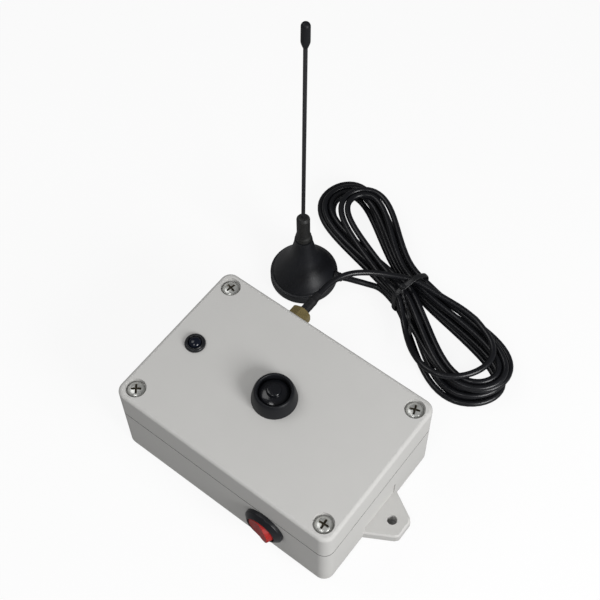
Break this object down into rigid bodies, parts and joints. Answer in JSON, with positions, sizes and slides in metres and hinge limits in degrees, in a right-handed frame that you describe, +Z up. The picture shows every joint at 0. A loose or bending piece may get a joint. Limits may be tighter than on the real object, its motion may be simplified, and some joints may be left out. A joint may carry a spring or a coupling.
{
  "type": "radio transmitter",
  "caption": "Handheld radio transmitter: screwed grey enclosure with push button, lamp and side rocker, and a magnetic-foot whip antenna on a tied coaxial lead.",
  "frame": {"origin": "centre of the enclosure's underside, on the surface it stands on", "axes": "+Z up along the whip, +X along the enclosure's long side, -Y out of the rocker switch's side, +Y out of the antenna connector's side"},
  "size_m": [0.1236, 0.1616, 0.154],
  "materials": {
    "grey_abs": "fine matt moulded ABS",
    "gasket_rubber": "matt rubber",
    "zinc_steel": "zinc-plated steel",
    "black_plastic": "matt black plastic",
    "gloss_black": "polished black plastic",
    "lamp_lens": "dark tinted epoxy lens, unlit",
    "red_rocker": "translucent red plastic",
    "contact_brass": "tinned brass",
    "gilt_brass": "gold-plated brass",
    "black_rubber": "soft black sleeve",
    "cable_jacket": "black PVC jacket, slightly shiny",
    "ferrite": "plain sintered magnet",
    "black_metal": "black coated metal",
    "board_green": "solder-masked glass-epoxy board",
    "module_blue": "solder-masked module board",
    "can_steel": "tinned can",
    "chip_black": "moulded epoxy",
    "capacitor": "sleeved aluminium can",
    "block_green": "moulded polyamide",
    "battery": "painted steel case",
    "wire_sleeve": "PVC wire sleeve"
  },
  "bodies": {
    "transmitter": {"enclosure_base": "grey_abs", "enclosure_lid": "grey_abs", "lid_gasket": "gasket_rubber", "lid_screws": "zinc_steel", "push_button_bezel": "black_plastic", "push_button_spring": "zinc_steel", "push_button_washer": "zinc_steel", "push_button_nut": "zinc_steel", "push_button_terminals": "contact_brass", "lamp_holder": "black_plastic", "lamp_lens": "lamp_lens", "lamp_ring_nut": "black_plastic", "lamp_leads": "contact_brass", "rocker_housing": "black_plastic", "rocker_terminals": "contact_brass", "antenna_jack": "gilt_brass", "jack_lock_washer": "gilt_brass", "jack_nut": "gilt_brass", "plug_body": "gilt_brass", "cable_boot": "black_rubber", "antenna_lead": "cable_jacket", "antenna_lead_hank": "cable_jacket", "antenna_lead_tail": "cable_jacket", "cable_tie": "cable_jacket", "antenna_foot_shell": "black_plastic", "antenna_magnet": "ferrite", "antenna_foot_pad": "gasket_rubber", "antenna_strain_relief": "black_rubber", "antenna_ferrule": "black_metal", "antenna_whip": "black_metal", "antenna_tip": "black_plastic", "circuit_board": "board_green", "board_screws": "zinc_steel", "transmitter_module": "module_blue", "module_shield": "can_steel", "crystal": "can_steel", "encoder_chip": "chip_black", "capacitor": "capacitor", "terminal_block": "block_green", "battery": "battery", "battery_pad": "gasket_rubber", "battery_snap": "black_plastic", "button_wires": "wire_sleeve", "lamp_wires": "wire_sleeve", "switch_wires": "wire_sleeve", "battery_wires": "wire_sleeve", "antenna_pigtail": "wire_sleeve"},
    "button": {"push_button_cap": "gloss_black", "push_button_contact": "contact_brass"},
    "rocker": {"rocker": "red_rocker"},
    "coupling_nut": {"coupling_nut": "gilt_brass"}
  },
  "joints": [
    {"name": "button_press", "type": "slide", "parent": "transmitter", "child": "button", "axis": [0, 0, -1], "range_m": [0, 0.002], "stiffness_N_per_m": 600, "springref_m": -0.002, "deforming": ["push_button_spring"]},
    {"name": "rocker_tilt", "type": "hinge", "parent": "transmitter", "child": "rocker", "pos_m": [0.0216, -0.03505, 0.0164], "axis": [0, 0, 1], "range_deg": [0, 24]},
    {"name": "nut_spin", "type": "hinge", "parent": "transmitter", "child": "coupling_nut", "pos_m": [-0.0218, 0.0412, 0.02], "axis": [0, 1, 0], "continuous": true}
  ]
}
